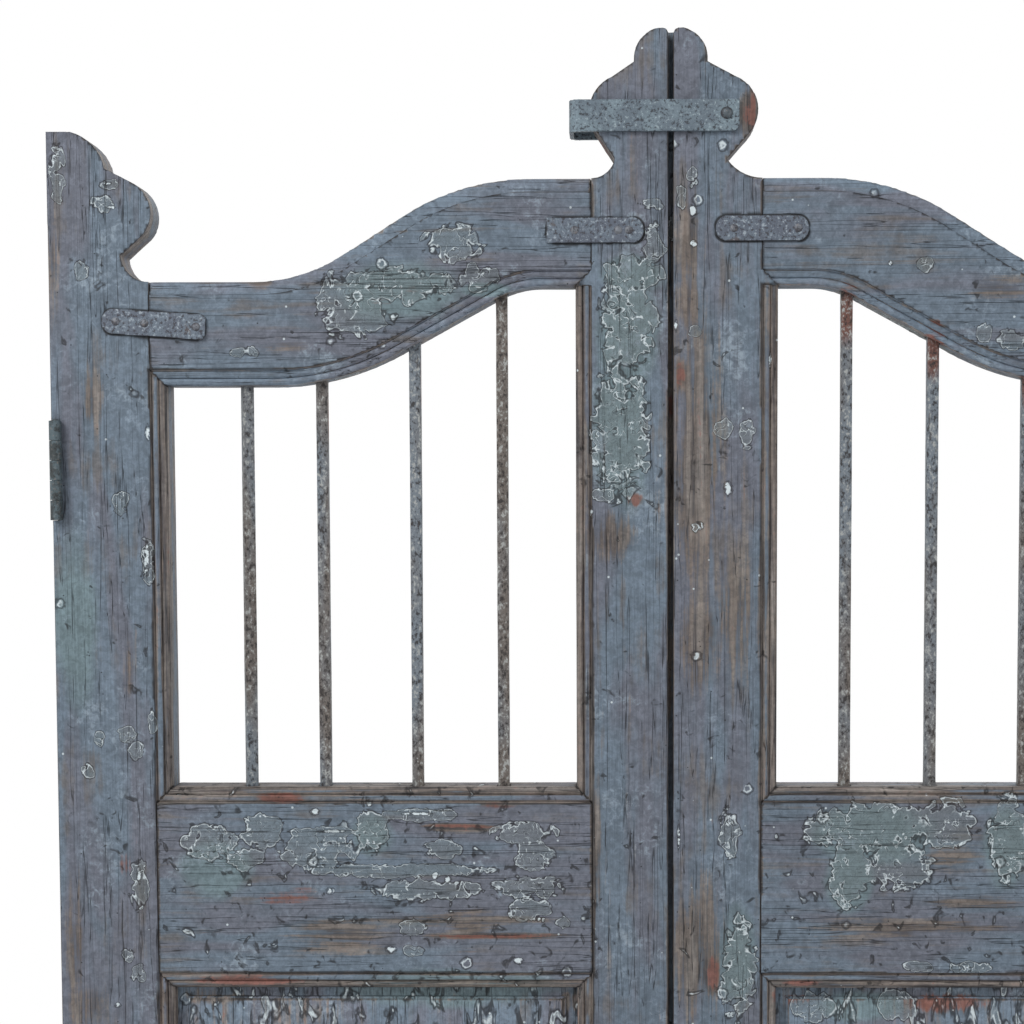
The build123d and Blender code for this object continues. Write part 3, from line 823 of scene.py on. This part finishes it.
def bar_iron():
    s = Shader("bar_iron", 0.66, 0.15)
    grit = s.noise((240, 240, 170), 4, 0.7)
    flecks = s.noise((150, 150, 60), 4, 0.65, 0.5)
    long = s.noise((14, 14, 3), 4, 0.6)
    tone = s.mix(s.step(long, 0.42, 0.62), linear(104, 97, 92), linear(112, 120, 128))
    reddish = s.add(s.number("rusty"), s.swing(flecks, 0.9))
    tone = s.mix(s.step(reddish, 0.3, 0.9), tone, linear(106, 74, 66))
    tone = s.mix(s.step(flecks, 0.55, 0.66, 0.0, 0.7), tone, linear(62, 56, 53))
    tone = s.mix(s.step(grit, 0.53, 0.62, 0.0, 0.9), tone, linear(46, 43, 43))
    tone = s.mix(s.step(grit, 0.47, 0.36, 0.0, 0.85), tone, linear(164, 166, 164))
    tone = s.mix(s.step(s.number("edge_wear"), 0.5, 1.0, 0.0, 0.5), tone, linear(44, 40, 38))
    return s.finish(tone, grit, 0.9 * millimetre, 0.9)


def painted_strap():
    s = Shader("painted_strap", 0.6, 0.1)
    grit = s.noise((260, 260, 260), 4, 0.65)
    blotch = s.noise((42, 42, 42), 4, 0.65, 0.4)
    tone = s.mix(s.step(blotch, 0.42, 0.58), linear(90, 97, 109), linear(102, 113, 125))
    tone = s.mix(s.step(blotch, 0.60, 0.70, 0.0, 0.75), tone, linear(80, 68, 64))
    tone = s.mix(s.step(grit, 0.53, 0.62, 0.0, 0.85), tone, linear(52, 49, 53))
    tone = s.mix(s.step(grit, 0.45, 0.35, 0.0, 0.8), tone, linear(158, 168, 176))
    # Dark rim at the strap's edges: edge wear, and painted shade where the strap meets the wood
    tone = s.mix(s.step(s.number("edge_wear"), 0.35, 0.85, 0.0, 0.85), tone, linear(36, 33, 34))
    return s.finish(tone, grit, 0.9 * millimetre, 0.85)


def latch_iron():
    s = Shader("latch_iron", 0.52, 0.3)
    pits = s.noise((330, 330, 330), 4, 0.68, 0.3)
    blotch = s.noise((34, 34, 34), 3, 0.6)
    tone = s.mix(s.step(blotch, 0.4, 0.62), linear(98, 110, 120), linear(114, 129, 138))
    tone = s.mix(s.step(pits, 0.53, 0.62, 0.0, 0.9), tone, linear(52, 54, 60))
    tone = s.mix(s.step(pits, 0.42, 0.32, 0.0, 0.6), tone, linear(172, 186, 190))
    tone = s.mix(s.step(s.number("edge_wear"), 0.45, 1.0, 0.0, 0.75), tone, linear(42, 39, 40))
    return s.finish(tone, s.math("SUBTRACT", 1.0, pits), 1.2 * millimetre, 0.95)


def small_iron(name, colour, dark, rough, metal):
    """Old iron in small pieces: nails, screws, plates and pins."""
    s = Shader(name, rough, metal)
    grit = s.noise((420, 420, 420), 4, 0.6)
    blotch = s.noise((90, 90, 90), 3, 0.6)
    tone = s.mix(s.step(blotch, 0.42, 0.58), colour, dark)
    tone = s.mix(s.step(grit, 0.54, 0.68, 0.0, 0.8), tone, linear(36, 34, 34))
    tone = s.mix(s.step(grit, 0.42, 0.32, 0.0, 0.6), tone, linear(128, 116, 108))
    return s.finish(tone, grit, 0.5 * millimetre, 0.7)


# Each part of the leaves: its grain, the place of its noise, bareness, flaking, moulding

wood_of = {
    part: PaintedWood(name, *settings).painted()
    for part, name, settings in (
        ("hanging_stile", "stile_paint", ("Z", (0.0, 0.0, 0.0), -0.06, 0.0, 1.3)),
        ("meeting_stile", "meeting_paint", ("Z", (3.1, 1.7, 0.4), 0.06, 0.02, 1.3)),
        ("top_rail", "top_rail_paint", ("X", (5.3, 0.9, 2.2), -0.08, 0.0, 0.05)),
        ("mid_rail", "mid_rail_paint", ("X", (1.2, 4.4, 6.1), 0.03, 0.12, 1.0)),
        ("bottom_rail", "bottom_rail_paint", ("X", (7.7, 2.6, 1.3), 0.06, 0.0, 0.6)),
        ("panel", "panel_paint", ("Z", (2.4, 6.5, 3.9), -0.16, 0.22, 0.4, (88, 88, 34))),
    )
}
bar_finish = bar_iron()
strap_finish = painted_strap()
hoop_finish = latch_iron()
nail_finish = small_iron("nail_iron", linear(116, 120, 127), linear(78, 78, 84), 0.55, 0.3)
hinge_finish = small_iron("hinge_iron", linear(84, 97, 103), linear(60, 66, 68), 0.55, 0.3)
pin_finish = small_iron("latch_pin_iron", linear(84, 92, 98), linear(62, 62, 66), 0.45, 0.5)

# How deep the wear goes, on edges and on faces

wood_wear = (1.4 * millimetre, 0.4 * millimetre)
bar_wear = (0.9 * millimetre, 0.5 * millimetre)
strap_wear = (0.8 * millimetre, 0.2 * millimetre)
hoop_wear = (0.9 * millimetre, 0.4 * millimetre)

# The seed moves each piece's wear to a place of its own in the noise

seed = 1.0
for side in ("left", "right"):
    for part, finish in wood_of.items():
        name = side + "_" + part
        worn_piece(name, seed, wood_wear, finish)
        seed += 3.7
    for number in range(1, 5):
        name = side + "_bar_" + str(number)
        worn_piece(name, seed, bar_wear, bar_finish)
        seed += 2.9
    for end in ("outer", "inner"):
        name = side + "_" + end + "_strap"
        worn_piece(name, seed, strap_wear, strap_finish)
        seed += 2.3
worn_piece("latch_hoop", seed, hoop_wear, hoop_finish)


def dress(name, material):
    """Gives a CAD node that stays its own material."""
    data = nodes[name].data
    data.materials.clear()
    data.materials.append(material)


for name in nodes:
    if name.endswith("_nails"):
        dress(name, nail_finish)
    elif "hinge" in name or name.endswith("_plate"):
        dress(name, hinge_finish)
dress("latch_pin", pin_finish)


# Floor and backdrop: pale near the object, fading to the white that the world shows

def seen_directly(tree):
    """1 for what the camera sees, also in gloss and through glass, and 0 for other light."""
    path = tree.nodes.new("ShaderNodeLightPath")
    seen = path.outputs["Is Camera Ray"]
    for other in ("Is Glossy Ray", "Is Transmission Ray"):
        either = tree.nodes.new("ShaderNodeMath")
        either.operation = "MAXIMUM"
        tree.links.new(seen, either.inputs[0])
        tree.links.new(path.outputs[other], either.inputs[1])
        seen = either.outputs[0]
    return seen


floor_size = 6.4
floor_fade = (0.75, 1.3)
floor_grey = 0.92


def floor_material():
    """A matte floor near the object, and the world's white where it is seen further out."""
    material = bpy.data.materials.new("floor_white")
    material.use_nodes = True
    tree = material.node_tree
    tree.nodes.clear()
    output = tree.nodes.new("ShaderNodeOutputMaterial")
    blend = tree.nodes.new("ShaderNodeMixShader")
    matte = tree.nodes.new("ShaderNodeBsdfDiffuse")
    matte.inputs["Color"].default_value = (floor_grey, floor_grey, floor_grey, 1)
    glow = tree.nodes.new("ShaderNodeEmission")
    glow.inputs["Color"].default_value = (1, 1, 1, 1)
    place = tree.nodes.new("ShaderNodeTexCoord")
    distance = tree.nodes.new("ShaderNodeVectorMath")
    distance.operation = "LENGTH"
    fade = tree.nodes.new("ShaderNodeMapRange")
    fade.interpolation_type = "SMOOTHSTEP"
    fade.inputs["From Min"].default_value = floor_fade[0]
    fade.inputs["From Max"].default_value = floor_fade[1]
    share = tree.nodes.new("ShaderNodeMath")
    share.operation = "MULTIPLY"
    tree.links.new(place.outputs["Object"], distance.inputs[0])
    tree.links.new(distance.outputs["Value"], fade.inputs["Value"])
    tree.links.new(fade.outputs["Result"], share.inputs[0])
    tree.links.new(seen_directly(tree), share.inputs[1])
    tree.links.new(share.outputs[0], blend.inputs[0])
    tree.links.new(matte.outputs[0], blend.inputs[1])
    tree.links.new(glow.outputs[0], blend.inputs[2])
    tree.links.new(blend.outputs[0], output.inputs["Surface"])
    return material


bpy.ops.mesh.primitive_grid_add(x_subdivisions=2, y_subdivisions=2, size=floor_size)
floor = bpy.context.object
floor.name = "floor"
floor.location = (0, 0, cad_low.z - 0.5 * millimetre)
floor.data.materials.append(floor_material())


def white_world(strength):
    """Even light from all round, and a white that is seen directly."""
    world = bpy.data.worlds.new("studio")
    bpy.context.scene.world = world
    world.use_nodes = True
    tree = world.node_tree
    light = tree.nodes["Background"]
    light.inputs["Color"].default_value = (0.97, 0.985, 1.0, 1)
    light.inputs["Strength"].default_value = strength
    seen = tree.nodes.new("ShaderNodeBackground")
    seen.inputs["Color"].default_value = (1, 1, 1, 1)
    seen.inputs["Strength"].default_value = 1.0
    blend = tree.nodes.new("ShaderNodeMixShader")
    tree.links.new(seen_directly(tree), blend.inputs[0])
    tree.links.new(light.outputs[0], blend.inputs[1])
    tree.links.new(seen.outputs[0], blend.inputs[2])
    tree.links.new(blend.outputs[0], tree.nodes["World Output"].inputs["Surface"])


def area_lamp(name, place, target, size, power):
    data = bpy.data.lights.new(name, "AREA")
    data.shape = "SQUARE"
    data.size = size
    data.energy = power
    lamp = bpy.data.objects.new(name, data)
    lamp.location = place
    lamp.rotation_euler = (Vector(target) - Vector(place)).to_track_quat("-Z", "Y").to_euler()
    bpy.context.scene.collection.objects.link(lamp)


middle = (cad_low + cad_high) / 2
white_world(strength=0.47)
area_lamp("key_lamp", (-2.2, -2.4, 2.9), middle, size=1.5, power=80)
area_lamp("fill_lamp", (2.6, -2.2, 1.4), middle, size=2.0, power=18)
area_lamp("back_lamp", (0.8, 2.6, 2.4), middle, size=1.8, power=30)

# Camera

sensor_width = 36
camera_data = bpy.data.cameras.new("camera")
camera_data.sensor_width = sensor_width
camera_data.lens = sensor_width * focal_pixels / image_size
camera_data.shift_x = framing_shift[0] / image_size
camera_data.shift_y = framing_shift[1] / image_size
camera_data.clip_end = 100
camera = bpy.data.objects.new("camera", camera_data)
camera.location = (camera_side, front - camera_distance, camera_height)
camera.rotation_mode = "XYZ"
camera.rotation_euler = (math.pi / 2 - camera_pitch, camera_roll, -camera_yaw)
bpy.context.scene.collection.objects.link(camera)
bpy.context.scene.camera = camera

bpy.context.scene.view_settings.view_transform = "Standard"
